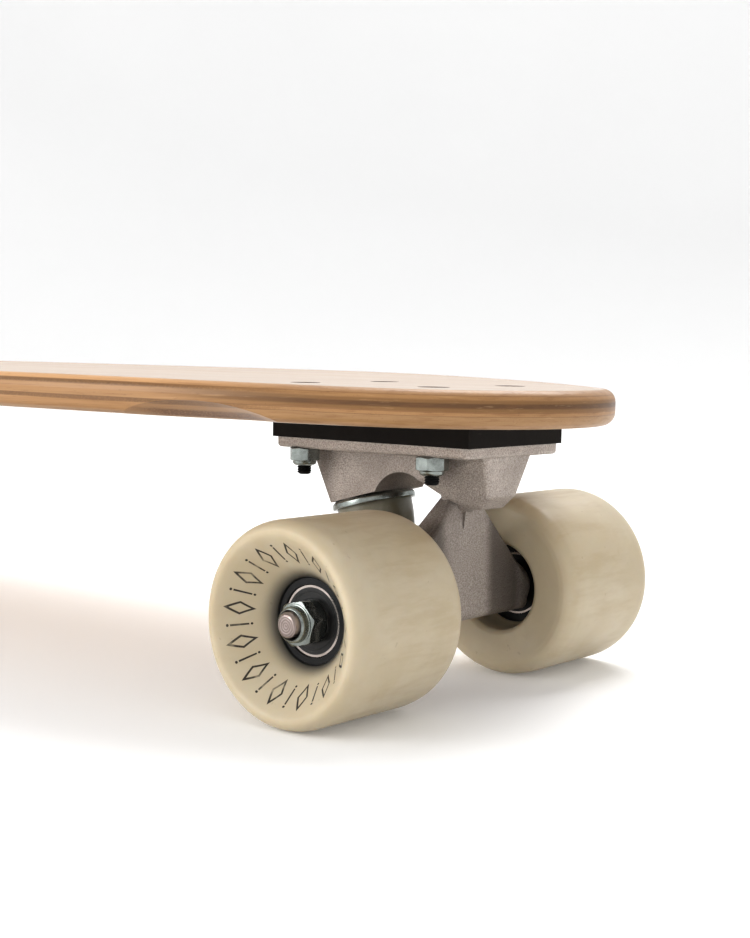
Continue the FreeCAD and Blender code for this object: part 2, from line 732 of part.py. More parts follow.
def mounting_nuts():
    solids = []
    down = vec(0, 0, -1)
    for x, y in bolt_spots():
        start = vec(x, y, -plate_thickness)
        body = hexagon(nut_flats, nut_hex_height, 0.7, start, down)
        top = nut_hex_height + nut_collar_height
        collar = turned([(nut_hex_height - 0.1, 0), (nut_hex_height - 0.1, nut_collar_radius + 0.4),
                         (top - 0.6, nut_collar_radius), (top, nut_collar_radius - 0.6), (top, 0)],
                        start, down)
        hole = rod(start, down, -1, top + 1, bolt_diameter / 2 + shaft_clearance)
        solids.append(body.fuse(collar).removeSplitter().cut(hole))
    return Part.makeCompound(solids)


os.makedirs("parts", exist_ok=True)
save(deck(), "deck")
truck_pieces = {"riser_pad": riser_pad(), "baseplate": baseplate(), "mounting_bolts": mounting_bolts(),
                "mounting_nuts": mounting_nuts(), "pivot_cup": pivot_cup(), "kingpin": kingpin(),
                "kingpin_nut": kingpin_nut(), "upper_washer": upper_washer(),
                "upper_bushing": upper_bushing(), "lower_bushing": lower_bushing(),
                "lower_washer": lower_washer(), "hanger": hanger(), "axle": axle(),
                "axle_nuts": axle_nuts(), "speed_washers": speed_washers(),
                "bearing_inner_races": inner_races(), "bearing_spacers": spacers()}
wheel_pieces = {"tyre": [tyre()], "core": [core()], "bearing_outer_races": outer_races(),
                "bearing_balls": balls(), "bearing_shields": shields()}
for end in ("front", "rear"):
    for name, shape in truck_pieces.items():
        save(place(shape, end), end + "_" + name)
    for name, solids in wheel_pieces.items():
        near = Part.makeCompound([mirrored(solid) for solid in solids])
        far = Part.makeCompound(solids)
        left, right = (far, near) if end == "front" else (near, far)
        save(place(left, end), end + "_left_" + name)
        save(place(right, end), end + "_right_" + name)
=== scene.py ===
import bpy, bmesh, math, json
import numpy as np
from mathutils import Vector, Matrix


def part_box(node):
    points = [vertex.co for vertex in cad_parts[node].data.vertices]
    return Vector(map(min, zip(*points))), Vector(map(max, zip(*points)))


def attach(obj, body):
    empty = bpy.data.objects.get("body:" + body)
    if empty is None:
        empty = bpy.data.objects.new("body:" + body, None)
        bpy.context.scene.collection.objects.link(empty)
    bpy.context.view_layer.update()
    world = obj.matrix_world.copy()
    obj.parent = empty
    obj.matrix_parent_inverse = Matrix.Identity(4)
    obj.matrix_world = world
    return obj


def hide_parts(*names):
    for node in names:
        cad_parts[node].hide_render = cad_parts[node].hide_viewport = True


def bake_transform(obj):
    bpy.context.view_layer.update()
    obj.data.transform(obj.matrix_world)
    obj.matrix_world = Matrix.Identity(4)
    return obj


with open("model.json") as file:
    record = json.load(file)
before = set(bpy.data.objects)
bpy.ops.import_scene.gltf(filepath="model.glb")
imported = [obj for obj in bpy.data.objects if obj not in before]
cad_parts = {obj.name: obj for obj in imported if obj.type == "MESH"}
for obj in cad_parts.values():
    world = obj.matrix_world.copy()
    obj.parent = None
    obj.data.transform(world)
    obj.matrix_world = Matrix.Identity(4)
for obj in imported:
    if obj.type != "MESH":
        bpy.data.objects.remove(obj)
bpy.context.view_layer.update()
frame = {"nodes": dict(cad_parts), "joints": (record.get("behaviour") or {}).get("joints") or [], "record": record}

print("frame loaded")

mm = 0.001
fullTurn = 2 * math.pi


# shader graph helper: a wrapped socket does maths with plain operators
class Sock:
    def __init__(self, graph, socket): self.g, self.s = graph, socket

    def maths(self, op, *values):
        return self.g.node("ShaderNodeMath", {"operation": op}, dict(enumerate(values)))

    def out(self, which): return Sock(self.g, self.s.node.outputs[which])  # another output of the same node
    def __add__(self, o): return self.maths("ADD", self, o)
    def __radd__(self, o): return self.maths("ADD", o, self)
    def __sub__(self, o): return self.maths("SUBTRACT", self, o)
    def __rsub__(self, o): return self.maths("SUBTRACT", o, self)
    def __mul__(self, o): return self.maths("MULTIPLY", self, o)
    def __truediv__(self, o): return self.maths("DIVIDE", self, o)
    def __pow__(self, o): return self.maths("POWER", self, o)
    def __mod__(self, o): return self.maths("FLOORED_MODULO", self, o)
    def floor(self): return self.maths("FLOOR", self)
    def least(self, o): return self.maths("MINIMUM", self, o)
    def most(self, o): return self.maths("MAXIMUM", self, o)
    def size(self): return self.maths("ABSOLUTE", self)
    def sine(self): return self.maths("SINE", self)
    def root(self): return self.maths("SQRT", self)

    # soft step up, 0 below low and 1 above high
    def between(self, low, high):
        return self.g.node("ShaderNodeMapRange", {"interpolation_type": "SMOOTHSTEP"},
                           {0: self, 1: low, 2: high, 3: 0.0, 4: 1.0})

    # soft step down, 1 below low and 0 above high
    def until(self, low, high): return 1.0 - self.between(low, high)


# colour from 0-255 display values to the linear values a shader works in
def tone(*display):
    return tuple(round(((c / 255 + 0.055) / 1.055) ** 2.4 if c > 10 else c / 255 / 12.92, 4) for c in display)


class Graph:
    def __init__(self, name):
        self.mat = bpy.data.materials.new(name)
        self.mat.use_nodes = True
        self.tree = self.mat.node_tree
        self.tree.nodes.clear()
        self.out = self.tree.nodes.new("ShaderNodeOutputMaterial")
        self.shader = self.tree.nodes.new("ShaderNodeBsdfPrincipled")
        self.tree.links.new(self.shader.outputs[0], self.out.inputs[0])

    def node(self, kind, settings=None, values=None, output=0):
        n = self.tree.nodes.new(kind)
        for key, value in (settings or {}).items():
            setattr(n, key, value)
        for key, value in (values or {}).items():
            self.put(n.inputs[key], value)
        return Sock(self, n.outputs[output])

    def put(self, socket, value):
        if isinstance(value, Sock):
            self.tree.links.new(value.s, socket)
        elif isinstance(value, tuple) and len(value) == 3 and len(socket.default_value) == 4:
            socket.default_value = (*value, 1.0)
        else:
            socket.default_value = value

    def place(self): return self.node("ShaderNodeTexCoord", output="Object")

    def axes(self, vector):
        x = self.node("ShaderNodeSeparateXYZ", None, {0: vector})
        return x, x.out(1), x.out(2)

    def stretch(self, vector, by):
        return self.node("ShaderNodeVectorMath", {"operation": "MULTIPLY"}, {0: vector, 1: by})

    # by stretches the pattern along each axis first
    def noise(self, vector, scale, detail=4.0, rough=0.55, warp=0.0, by=None):
        if by:
            vector = self.stretch(vector, by)
        values = {"Vector": vector, "Scale": scale, "Detail": detail, "Roughness": rough, "Distortion": warp}
        return self.node("ShaderNodeTexNoise", None, values)

    def cells(self, vector, scale):
        return self.node("ShaderNodeTexVoronoi", {"feature": "F1"}, {"Vector": vector, "Scale": scale})

    def mix(self, factor, a, b):
        return self.node("ShaderNodeMix", {"data_type": "RGBA", "blend_type": "MIX"}, {0: factor, 6: a, 7: b}, output=2)

    # lays a display tone over a colour by an amount
    def cover(self, amount, colour, display): return self.mix(amount, colour, tone(*display))

    # lays a display tone over a colour where a pattern climbs from low to high
    def stain(self, pattern, low, high, strength, colour, display):
        return self.cover(pattern.between(low, high) * strength, colour, display)

    def bump(self, height, strength, distance, under=None):
        values = {"Strength": strength, "Distance": distance, "Height": height}
        if under is not None:
            values["Normal"] = under
        return self.node("ShaderNodeBump", None, values)

    def finish(self, **sockets):
        for key, value in sockets.items():
            self.put(self.shader.inputs[key.replace("_", " ")], value)
        return self.mat


# places: both trucks share one table, in millimetres, each in its own frame at the bolt centre on the baseplate's top
truck = {"axleOffset": 17.4, "seat": (-14.1, 0.0, -20.0), "tilt": 15.0,
         "boltX": 53.98 / 2, "boltY": 41.28 / 2, "plate": 3.45}
facing = {"front": 1.0, "rear": -1.0}
joints = {j["name"]: j for j in frame["joints"]}
riserLow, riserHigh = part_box("front_riser_pad")
plateTop, deckBottom = riserLow.z, riserHigh.z
axleAt = {end: Vector(joints[end + "_left_roll"]["pos_m"]) for end in facing}
axleX = {end: axleAt[end].x for end in facing}


# a place in a truck's own frame, in millimetres, as a point in metres
def spot(end, x, y, z):
    f = facing[end]
    return np.array((axleX[end] + f * (x - truck["axleOffset"]) * mm, f * y * mm, plateTop + z * mm))


def kingpinDown(end):
    a = math.radians(truck["tilt"])
    return np.array((facing[end] * math.sin(a), 0.0, -math.cos(a)))


plateX = {end: float(spot(end, 0, 0, 0)[0]) for end in facing}


# in a shader: distance along the board to the nearer of two places, one for each truck
def nearer(x, places): return (x - places["front"]).size().least((x - places["rear"]).size())


# in a shader: distance from the line of the nearer axle
def fromAxle(x, z):
    along, above = nearer(x, axleX), z - axleAt["front"].z
    return (along * along + above * above).root()


# in a shader: distance from the nearest mounting bolt's line
def fromBolt(x, y):
    along, across = nearer(x, plateX) - truck["boltX"] * mm, y.size() - truck["boltY"] * mm
    return (along * along + across * across).root()


# turned part: a profile of (along, radius) in millimetres is carried once round the axis through centre, so
# point(i, j) = centre + along(i) axis + radius(i) (cos turn(j) first + sin turn(j) second);
# shape(along, radius, turn) may move both numbers, for threads, flats and recesses;
# the texture place is (share of a turn, length along the profile in millimetres)
def lathe(profile, centre, axis, sides=64, shape=None, ring=False):
    profile = np.array(profile, float)
    axis = np.array(axis, float) / np.linalg.norm(axis)
    helper = np.array((0.0, 0.0, 1.0)) if abs(axis[2]) < 0.9 else np.array((1.0, 0.0, 0.0))
    first = np.cross(helper, axis)
    first /= np.linalg.norm(first)
    second = np.cross(axis, first)
    turn = np.linspace(0, fullTurn, sides, endpoint=False)
    along = np.repeat(profile[:, :1], sides, 1)
    radius = np.repeat(profile[:, 1:], sides, 1)
    if shape is not None:
        along, radius = shape(along, radius, turn[None, :])
    out = np.cos(turn)[None, :, None] * first + np.sin(turn)[None, :, None] * second
    points = np.array(centre, float) + mm * along[:, :, None] * axis + mm * radius[:, :, None] * out
    rows = len(profile)
    length = np.append(runOf(profile), 0.0)
    length[-1] = length[-2] + np.hypot(*(profile[0] - profile[-1]))
    r, c = (k.ravel() for k in np.meshgrid(np.arange(rows if ring else rows - 1), np.arange(sides), indexing="ij"))
    r2, c2 = (r + 1) % rows, (c + 1) % sides
    faces = np.stack([r * sides + c, r * sides + c2, r2 * sides + c2, r2 * sides + c], -1)
    u = np.stack([c, c + 1, c + 1, c], -1) / sides
    v = np.stack([length[r], length[r], length[r + 1], length[r + 1]], -1)
    return points.reshape(-1, 3), faces, np.stack([u, v], -1).reshape(-1, 2)


# length of a profile from its start to each of its points
def runOf(profile): return np.concatenate([[0], np.cumsum(np.hypot(*np.diff(profile, axis=0).T))])


# one object from several turned parts; the seam and the poles are merged and every face is turned outwards
def makePiece(name, parts, material, crease):
    points, faces, places = zip(*parts)
    starts = np.cumsum([0] + [len(p) for p in points])
    mesh = bpy.data.meshes.new(name)
    mesh.from_pydata(np.concatenate(points).tolist(), [],
                     np.concatenate([f + s for f, s in zip(faces, starts)]).tolist())
    mesh.uv_layers.new(name="UVMap").data.foreach_set("uv", np.concatenate(places).astype(np.float32).ravel())
    b = bmesh.new()
    b.from_mesh(mesh)
    bmesh.ops.remove_doubles(b, verts=b.verts, dist=1e-7)
    bmesh.ops.recalc_face_normals(b, faces=b.faces)
    b.to_mesh(mesh)
    b.free()
    mesh.polygons.foreach_set("use_smooth", np.ones(len(mesh.polygons), bool))
    mesh.set_sharp_from_angle(angle=math.radians(crease))
    mesh.materials.append(material)
    obj = bpy.data.objects.new(name, mesh)
    bpy.context.scene.collection.objects.link(obj)
    return obj


def addPiece(name, parts, slot, body, covers, crease=35.0):
    obj = makePiece(name, parts, finishes[slot], crease)
    if body:
        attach(obj, body)
    if covers:
        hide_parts(covers)
    return obj


# corners of a profile made round: each corner becomes a short curve (1-t)^2 p + 2t(1-t) corner + t^2 q,
# which starts and ends size from the corner, or at a share of the shorter side where that is less
def soften(points, size, steps=4, ring=False, share=0.42):
    points = [np.array(p, float) for p in points]
    before, after = (points[-1:] + points[:-1], points[1:] + points[:1]) if ring else (points[:-2], points[2:])
    corners = points if ring else points[1:-1]
    out = [] if ring else [points[0]]
    for a, b, c in zip(before, corners, after):
        back, ahead = np.linalg.norm(b - a), np.linalg.norm(c - b)
        cut = min(size, share * back, share * ahead)
        p, q = b + (a - b) / back * cut, b + (c - b) / ahead * cut
        out += [(1 - t) ** 2 * p + 2 * t * (1 - t) * b + t * t * q for t in np.linspace(0, 1, steps)]
    return np.array(out if ring else out + [points[-1]])


# smooth line through points, a cubic between neighbours with the slope of the line joining the points on each side
def smoothLine(points, steps):
    points = np.array(points, float)
    slopes = np.gradient(points, axis=0)
    t = np.linspace(0, 1, steps, endpoint=False)[:, None]
    rise, leave, arrive = 3 * t ** 2 - 2 * t ** 3, t ** 3 - 2 * t ** 2 + t, t ** 3 - t ** 2
    stretches = zip(points[:-1], points[1:], slopes[:-1], slopes[1:])
    return np.concatenate([(1 - rise) * a + leave * sa + rise * b + arrive * sb for a, b, sa, sb in stretches]
                          + [points[-1:]])


# screw thread: radius falls from the crest by depth times a triangle wave of along / pitch - turn / full turn,
# between low and high, where it fades out over a share of the pitch; a larger flat gives a wider crest
thread = {"fade": 0.6, "flat": 1.25}


def threaded(pitch, depth, low, high):
    def shape(along, radius, turn):
        wave = np.abs((along / pitch - turn / fullTurn) % 1.0 - 0.5) * 2
        fade = thread["fade"] * pitch
        inside = np.clip((along - low) / fade, 0, 1) * np.clip((high - along) / fade, 0, 1)
        return along, radius - depth * inside * (1 - np.clip(wave * thread["flat"], 0, 1)) * (radius > depth * 2)
    return shape


# rows along a threaded stretch, nine to a turn of the thread
def threadRows(start, end, pitch, radius):
    return [(a, radius) for a in np.linspace(start, end, int(round(abs(end - start) / pitch * 9)) + 1)]


# every lock nut from its seat outwards: a chamfered hexagon, then a turned collar rolled over its ring
nutShape = {"chamfer": 0.55, "setIn": 0.15, "lift": 0.001, "chamferSteps": 7, "sides": 96, "power": 22,
            "round": 0.45, "roundSteps": 5}


# hexagon with worn corners: radius is half the flats over a high-power mean of the three cosines across the flats,
# and never past the turned profile
def hexagonal(flats, low, high, spin):
    def shape(along, radius, turn):
        power = nutShape["power"]
        across = sum(np.abs(np.cos(turn + spin - k * math.pi / 3)) ** power for k in range(3)) ** (1 / power)
        return along, np.where((along > low) & (along < high), np.minimum(radius, flats / 2 / across), radius)
    return shape


def nutProfile(n):
    s = nutShape
    corner, flat = n["flats"] / math.sqrt(3), n["flats"] / 2 - s["setIn"]
    h, top, hole, collar = n["height"], n["height"] + n["collar"], n["hole"], n["collarRadius"]
    cone = s["chamfer"] * (corner - n["flats"] / 2)
    share = np.linspace(0, 1, s["chamferSteps"])
    rows = [(0.0, hole), (0.0, flat)]
    rows += [(s["lift"] + cone * t, flat + (corner - flat) * t) for t in share]
    rows += [(h - cone - s["lift"] + cone * t, corner - (corner - flat) * t) for t in share]
    rim = [(h, collar + 0.5), (h + 0.1, collar + 0.1), (top - 0.55, collar), (top, collar - 0.75),
           (top - 0.1, hole + 0.75), (top - 0.75, hole + 0.1), (h - 0.2, hole)]
    return np.array(rows + soften([rows[-1]] + rim + [(0.4, hole)], s["round"], s["roundSteps"])[1:].tolist())


def lockNut(n, centre, axis, spin):
    half = nutShape["lift"] / 2
    flats = hexagonal(n["flats"], half, n["height"] - half, spin)
    return lathe(nutProfile(n), centre, axis, nutShape["sides"], flats, ring=True)


# deck: plies are told apart by height above the pressed underside, so the bands follow the kick and the raised edges;
# its sizes are in millimetres and degrees, nose and hollows in metres, and plies and glue lines in shares of the height
wood = {
    "flatHalf": 34.0, "pressRadius": 648.3, "bendStart": -216.4, "bendRadius": 155.8, "bendAngle": 17.0, "thick": 11.6,
    "noseStart": 0.215, "noseRun": 0.075, "noseWander": 0.07, "wander": 0.03,
    "glueLines": (0.325, 0.425, 0.85), "glueWidth": (0.004, 0.018),
    "crossPlies": (((0.31, 0.34), (0.41, 0.44)), ((0.73, 0.77), (0.82, 0.86))),
    "upperFace": (0.985, 0.997), "lowerFace": (0.003, 0.015), "sinkRim": (5.12, 5.2),
}
# patterns in the wood, long along the board
grain = {
    "fibres": {"by": (7.0, 130.0, 240.0), "scale": 3.2, "detail": 7.0, "rough": 0.62, "warp": 0.5},
    "streaks": {"by": (2.2, 60.0, 420.0), "scale": 2.6, "detail": 4.0, "rough": 0.6, "warp": 0.3},
    "pores": {"by": (60.0, 900.0, 900.0), "scale": 2.2, "detail": 3.0, "rough": 0.6},
    "broad": {"by": (4.0, 12.0, 12.0), "scale": 2.0, "detail": 3.0, "rough": 0.5},
    "figure": {"by": (1.6, 26.0, 26.0), "scale": 3.0, "detail": 5.0, "rough": 0.6, "warp": 1.1},
}
light, tan, brown, deep = (164, 128, 88), (167, 127, 84), (134, 98, 58), (100, 69, 39)
# plies from the bottom up: where each takes over from the one below, its tone along the sides and its tone round the
# nose; the first row is the lowest ply, and a row without a side tone shows round the nose only
plies = [
    # the lowest ply's pale greyish tone is partly the ply's own tone and partly a painted highlight along the lower
    # rounding
    (None, (166, 134, 103), (176, 141, 108)),
    ((0.06, 0.12), tan, light), ((0.31, 0.36), brown, tan), ((0.41, 0.46), tan, brown),
    ((0.50, 0.56), None, deep), ((0.63, 0.68), None, brown),
    ((0.71, 0.78), brown, tan), ((0.83, 0.88), (200, 155, 108), (168, 130, 92)),
]
# the hollows over the wheels, with soft edges: reach from the axle's line, limits towards the nose and the side, and
# where they start and stop above the bottom
hollow = {"reach": (0.052, 0.064), "nose": (0.250, 0.262), "side": (0.0866, 0.0876),
          "start": (0.02, 0.05), "top": (0.16, 0.24)}


def woodMaterial():
    g = Graph("deck wood")
    where = g.place()
    x, y, z = g.axes(where)
    w = wood
    # the sides rise on an arc past the flat middle; the tail rises on an arc and then a straight
    out = (y.size() - w["flatHalf"] * mm).most(0.0)
    press = w["pressRadius"] * mm
    rise = press - (press ** 2 - out * out).root()
    bend, angle = w["bendRadius"] * mm, math.radians(w["bendAngle"])
    back = (w["bendStart"] * mm - x).most(0.0)
    arc = bend - (bend ** 2 - back.least(bend * math.sin(angle)) ** 2.0).root()
    slope = (back - bend * math.sin(angle)).most(0.0) * math.tan(angle)
    level = (z - rise - arc - slope - deckBottom) / (w["thick"] * mm)

    fibres, streaks, pores, broad = (g.noise(where, **grain[k]) for k in ("fibres", "streaks", "pores", "broad"))
    endGrain = g.cells(g.stretch(where, (1.0, 0.8, 1.1)), 1500.0)
    # round the nose the cut crosses the grain of the other plies
    nose = (x - w["noseStart"] - (broad - 0.5) * w["noseWander"]).between(0.0, w["noseRun"])
    wave = level + (broad - 0.5) * w["wander"] + (streaks - 0.5) * w["wander"]
    for edge, side, nosed in plies:
        if edge is None:
            colour = g.mix(nose, tone(*side), tone(*nosed))
        elif side is None:
            colour = g.cover(wave.between(*edge) * nose, colour, nosed)
        else:
            colour = g.mix(wave.between(*edge), colour, g.mix(nose, tone(*side), tone(*nosed)))
    first, second, third = ((wave - k).size() for k in w["glueLines"])
    glue = first.least(second).least(third).until(*w["glueWidth"])
    colour = g.cover(glue * 0.4, colour, (104, 70, 40))
    lower, upper = (wave.between(*low) * wave.until(*high) for low, high in w["crossPlies"])
    colour = g.cover((lower + upper) * endGrain.between(0.25, 0.6) * 0.4 * (1.0 - nose), colour, (96, 64, 36))
    colour = g.stain(streaks, 0.46, 0.70, 0.42, colour, (128, 88, 50))
    colour = g.cover(streaks.until(0.26, 0.42) * 0.22, colour, (214, 174, 130))

    # the hollows cut through the lower plies and show rough end grain near the rim, and their inside is darkened all
    # over as painted shade
    hollowShadeAndGrain = nearer(x, axleX).until(*hollow["reach"]) * x.until(*hollow["nose"]) * y.size().until(*hollow["side"])
    hollowShadeAndGrain = hollowShadeAndGrain * level.between(*hollow["start"]) * level.until(*hollow["top"])
    colour = g.cover(hollowShadeAndGrain * (endGrain.between(0.15, 0.55) * 0.5 + 0.4), colour, (104, 68, 36))

    # the faces above and below are one veneer each, with long cathedral figure
    lines = ((g.noise(where, **grain["figure"]) * 26.0).sine() * 0.5 + 0.5) ** 1.6
    veneer = g.mix(lines * 0.40, tone(190, 162, 133), tone(174, 143, 112))
    veneer = g.stain(fibres, 0.40, 0.72, 0.3, veneer, (184, 142, 102))
    veneer = g.stain(pores, 0.60, 0.78, 0.25, veneer, (148, 106, 70))
    face = level.between(*w["upperFace"]).most(level.until(*w["lowerFace"]))
    colour = g.mix(face, colour, veneer)
    colour = g.cover(pores.between(0.58, 0.76) * (0.32 - face * 0.14), colour, (104, 72, 42))
    # painted shade in the countersinks: the wood round each sunk head is darkened nearly to black
    sink = fromBolt(x, y).until(*(k * mm for k in w["sinkRim"]))
    colour = g.cover(sink * 0.85, colour, (30, 24, 20))

    rough = 0.46 + (fibres - 0.5) * 0.14 + (broad - 0.5) * 0.08 - face * 0.08
    normal = g.bump(fibres * 0.6 + pores * 0.4 + streaks * 0.3, strength=0.10, distance=0.0002)
    return g.finish(Base_Color=colour, Roughness=rough, Normal=normal, Coat_Weight=face * 0.55 + 0.18,
                    Coat_Roughness=0.22, Coat_IOR=1.5, Specular_IOR_Level=0.35)


# cast alloy, shot-blasted: fine crater grain over slow stains, with painted shade round the nut seats, which lie
# seatDepth to seatRoof millimetres below the baseplate's top
cast = {"light": (201, 191, 183), "dark": (156, 146, 138), "stain": (128, 118, 110), "worn": (198, 188, 182),
        "shade": (52, 46, 40), "seatShade": (72, 64, 57), "grain": 2200.0, "craters": 1980.0,
        "seat": (5.5, 11.5), "seatDepth": 5.0, "seatRoof": 3.4}


# lit is 1 for the casting as it is and less for a copy with painted shade, darkened all over towards the shade tone
def castMaterial(name, lit):
    g = Graph(name)
    where = g.place()
    x, y, z = g.axes(where)
    fine = g.noise(where, cast["grain"], detail=3.0, rough=0.65)
    craters = g.cells(where, cast["craters"])
    coarse = g.noise(where, 420.0, detail=3.0, rough=0.6)
    broad = g.noise(where, 55.0, detail=4.0, rough=0.6)
    colour = g.mix(fine.between(0.36, 0.64), tone(*cast["dark"]), tone(*cast["light"]))
    colour = g.stain(broad, 0.42, 0.72, 0.35, colour, cast["stain"])
    colour = g.stain(coarse, 0.60, 0.74, 0.15, colour, cast["worn"])
    # painted shade: a less lit copy is darkened all over towards the shade tone
    colour = g.cover(1.0 - lit, colour, cast["shade"])
    # painted shade round the nut seats, where the nuts and bosses shade the casting
    depths = (plateTop - cast[k] * mm for k in ("seatDepth", "seatRoof"))
    seat = fromBolt(x, y).until(*(k * mm for k in cast["seat"])) * z.until(*depths)
    colour = g.cover(seat * 0.75, colour, cast["seatShade"])
    rough = 0.47 + (fine - 0.5) * 0.30 + (broad - 0.5) * 0.14
    pitted = g.bump(coarse, strength=0.25, distance=0.0004)
    normal = g.bump(craters * 0.7 + fine, strength=0.95, distance=0.00024, under=pitted)
    return g.finish(Base_Color=colour, Metallic=0.62, Roughness=rough, Normal=normal)


# zinc plate: cloudy, with fine pits and faint drawing marks
zinc = {"base": (158, 164, 160), "cloudy": 0.82, "deep": (0.62, 0.60, 0.56), "rough": 0.25}


def zincMaterial():
    g = Graph("zinc plate")
    where = g.place()
    base = zinc["base"]
    clouds = g.noise(where, 230.0, detail=5.0, rough=0.62, warp=0.3)
    fine = g.noise(where, 2400.0, detail=2.0, rough=0.5)
    marks = g.noise(where, 380.0, detail=3.0, rough=0.6, by=(1.0, 1.0, 9.0))
    colour = g.mix(clouds.between(0.34, 0.66), tone(*base), tone(*(c * zinc["cloudy"] for c in base)))
    colour = g.stain(clouds, 0.62, 0.74, 0.3, colour, [c * k for c, k in zip(base, zinc["deep"])])
    rough = zinc["rough"] + (clouds - 0.5) * 0.16 + (fine - 0.5) * 0.08
    normal = g.bump(clouds + fine * 0.35 + marks * 0.2, strength=0.25, distance=0.00012)
    return g.finish(Base_Color=colour, Metallic=1.0, Roughness=rough, Normal=normal)


# axle ends: tool rings round the axle's own line, spaced by the period and wandering a little, on the end face only
turned = {"base": (164, 152, 147), "ring": (108, 95, 90), "dull": (128, 114, 108),
          "period": 0.78, "wander": 0.6, "faceStart": 75.6, "faceRun": 0.3}


def turnedSteel():
    g = Graph("turned steel")
    where = g.place()
    x, y, z = g.axes(where)
    wobble = g.noise(where, 700.0, detail=3.0, rough=0.6)
    line = fromAxle(x, z) + (wobble - 0.5) * (turned["wander"] * mm)
    rings = (line * (fullTurn / (turned["period"] * mm))).sine() * 0.5 + 0.5
    face = (y.size() - turned["faceStart"] * mm).between(0.0, turned["faceRun"] * mm)
    fine = g.noise(where, 1800.0, detail=3.0, rough=0.6)
    clouds = g.noise(where, 300.0, detail=4.0, rough=0.6)
    colour = g.mix(rings * face * 0.6, tone(*turned["base"]), tone(*turned["ring"]))
    colour = g.stain(clouds, 0.45, 0.7, 0.35, colour, turned["dull"])
    rough = 0.36 + (fine - 0.5) * 0.2 + (clouds - 0.5) * 0.1
    normal = g.bump(rings * face * 0.7 + fine * 0.5, strength=0.45, distance=0.00012)
    return g.finish(Base_Color=colour, Metallic=0.95, Roughness=rough, Normal=normal)


# bearing rings: only the ground outer rim and the bore ring stay bright; between them is painted shade, near black and
# not metallic, for the dark recess behind the shield
ground = {"base": (186, 176, 170), "dull": (136, 126, 120), "recessShade": (22, 21, 21),
          "boreRing": (4.9, 5.1), "outerRing": (9.95, 10.1)}


def bearingSteel():
    g = Graph("ground steel")
    where = g.place()
    x, z = g.axes(where)[::2]
    radius = fromAxle(x, z) / mm
    # painted shade between the bore ring and the outer rim
    recessShade = radius.between(*ground["boreRing"]) * radius.until(*ground["outerRing"])
    fine = g.noise(where, 2400.0, detail=2.0, rough=0.5)
    clouds = g.noise(where, 260.0, detail=4.0, rough=0.6)
    colour = g.mix(clouds.between(0.4, 0.7) * 0.4, tone(*ground["base"]), tone(*ground["dull"]))
    colour = g.cover(recessShade, colour, ground["recessShade"])
    rough = 0.26 + recessShade * 0.2 + (fine - 0.5) * 0.1
    normal = g.bump(fine + clouds * 0.5, strength=0.15, distance=0.0001)
    return g.finish(Base_Color=colour, Metallic=0.95 - recessShade * 0.95, Roughness=rough, Normal=normal)


# bearing shields: two ring grooves, given by their radii in millimetres, darkened as painted shade, and dust
shield = {"base": (14, 13, 13), "dust": (40, 37, 34), "deep": (10, 10, 10),
          "outerGroove": 8.55, "innerGroove": 6.6, "grooveWidth": (0.05, 0.18)}


def shieldMaterial():
    g = Graph("shield rubber")
    where = g.place()
    x, z = g.axes(where)[::2]
    radius = fromAxle(x, z) / mm
    outer, inner = ((radius - shield[k]).size() for k in ("outerGroove", "innerGroove"))
    groove = outer.least(inner).until(*shield["grooveWidth"])
    fine = g.noise(where, 1500.0, detail=3.0, rough=0.6)
    dust = g.noise(where, 420.0, detail=4.0, rough=0.65)
    colour = g.mix(dust.between(0.5, 0.75) * 0.45, tone(*shield["base"]), tone(*shield["dust"]))
    # painted shade in the two grooves
    colour = g.cover(groove * 0.6, colour, shield["deep"])
    normal = g.bump(fine * 0.3 - groove, strength=0.5, distance=0.00018)
    return g.finish(Base_Color=colour, Roughness=0.40 + (dust - 0.5) * 0.2, Normal=normal)


# moulded and blackened pieces, one row each
moulded = {
    "riser_black": {"name": "black riser", "base": (24, 20, 17), "worn": (31, 27, 24), "rough": 0.72, "scale": 700.0,
                    "strength": 0.35, "depth": 0.00016, "gloss": 0.15},
    "black_steel": {"name": "black oxide", "base": (16, 16, 17), "worn": (30, 29, 29), "rough": 0.55,
                    "scale": 1500.0, "strength": 0.3, "depth": 0.00012, "gloss": 0.12},
    "cup_urethane": {"name": "cup urethane", "base": (40, 39, 38), "worn": (54, 52, 50), "rough": 0.48,
                     "scale": 500.0, "strength": 0.3, "depth": 0.00012, "gloss": 0.4},
    "core_black": {"name": "core nylon", "base": (11, 11, 12), "worn": (19, 19, 20), "rough": 0.38, "scale": 800.0,
                   "strength": 0.3, "depth": 0.00012, "gloss": 0.3},
}


def mouldedMaterial(m):
    g = Graph(m["name"])
    where = g.place()
    fine = g.noise(where, m["scale"], detail=4.0, rough=0.6)
    broad = g.noise(where, m["scale"] / 14, detail=4.0, rough=0.6, warp=0.4)
    scuffs = g.noise(where, m["scale"] / 5, detail=3.0, rough=0.6, by=(1.0, 1.0, 6.0))
    colour = g.mix(broad.between(0.35, 0.7), tone(*m["base"]), tone(*m["worn"]))
    colour = g.stain(scuffs, 0.66, 0.78, 0.35, colour, [c * 1.7 + 8 for c in m["worn"]])
    rough = m["rough"] + (broad - 0.5) * 0.16 + (fine - 0.5) * 0.10
    normal = g.bump(fine + scuffs * 0.3, m["strength"], m["depth"])
    return g.finish(Base_Color=colour, Roughness=rough, Normal=normal, Specular_IOR_Level=m["gloss"])


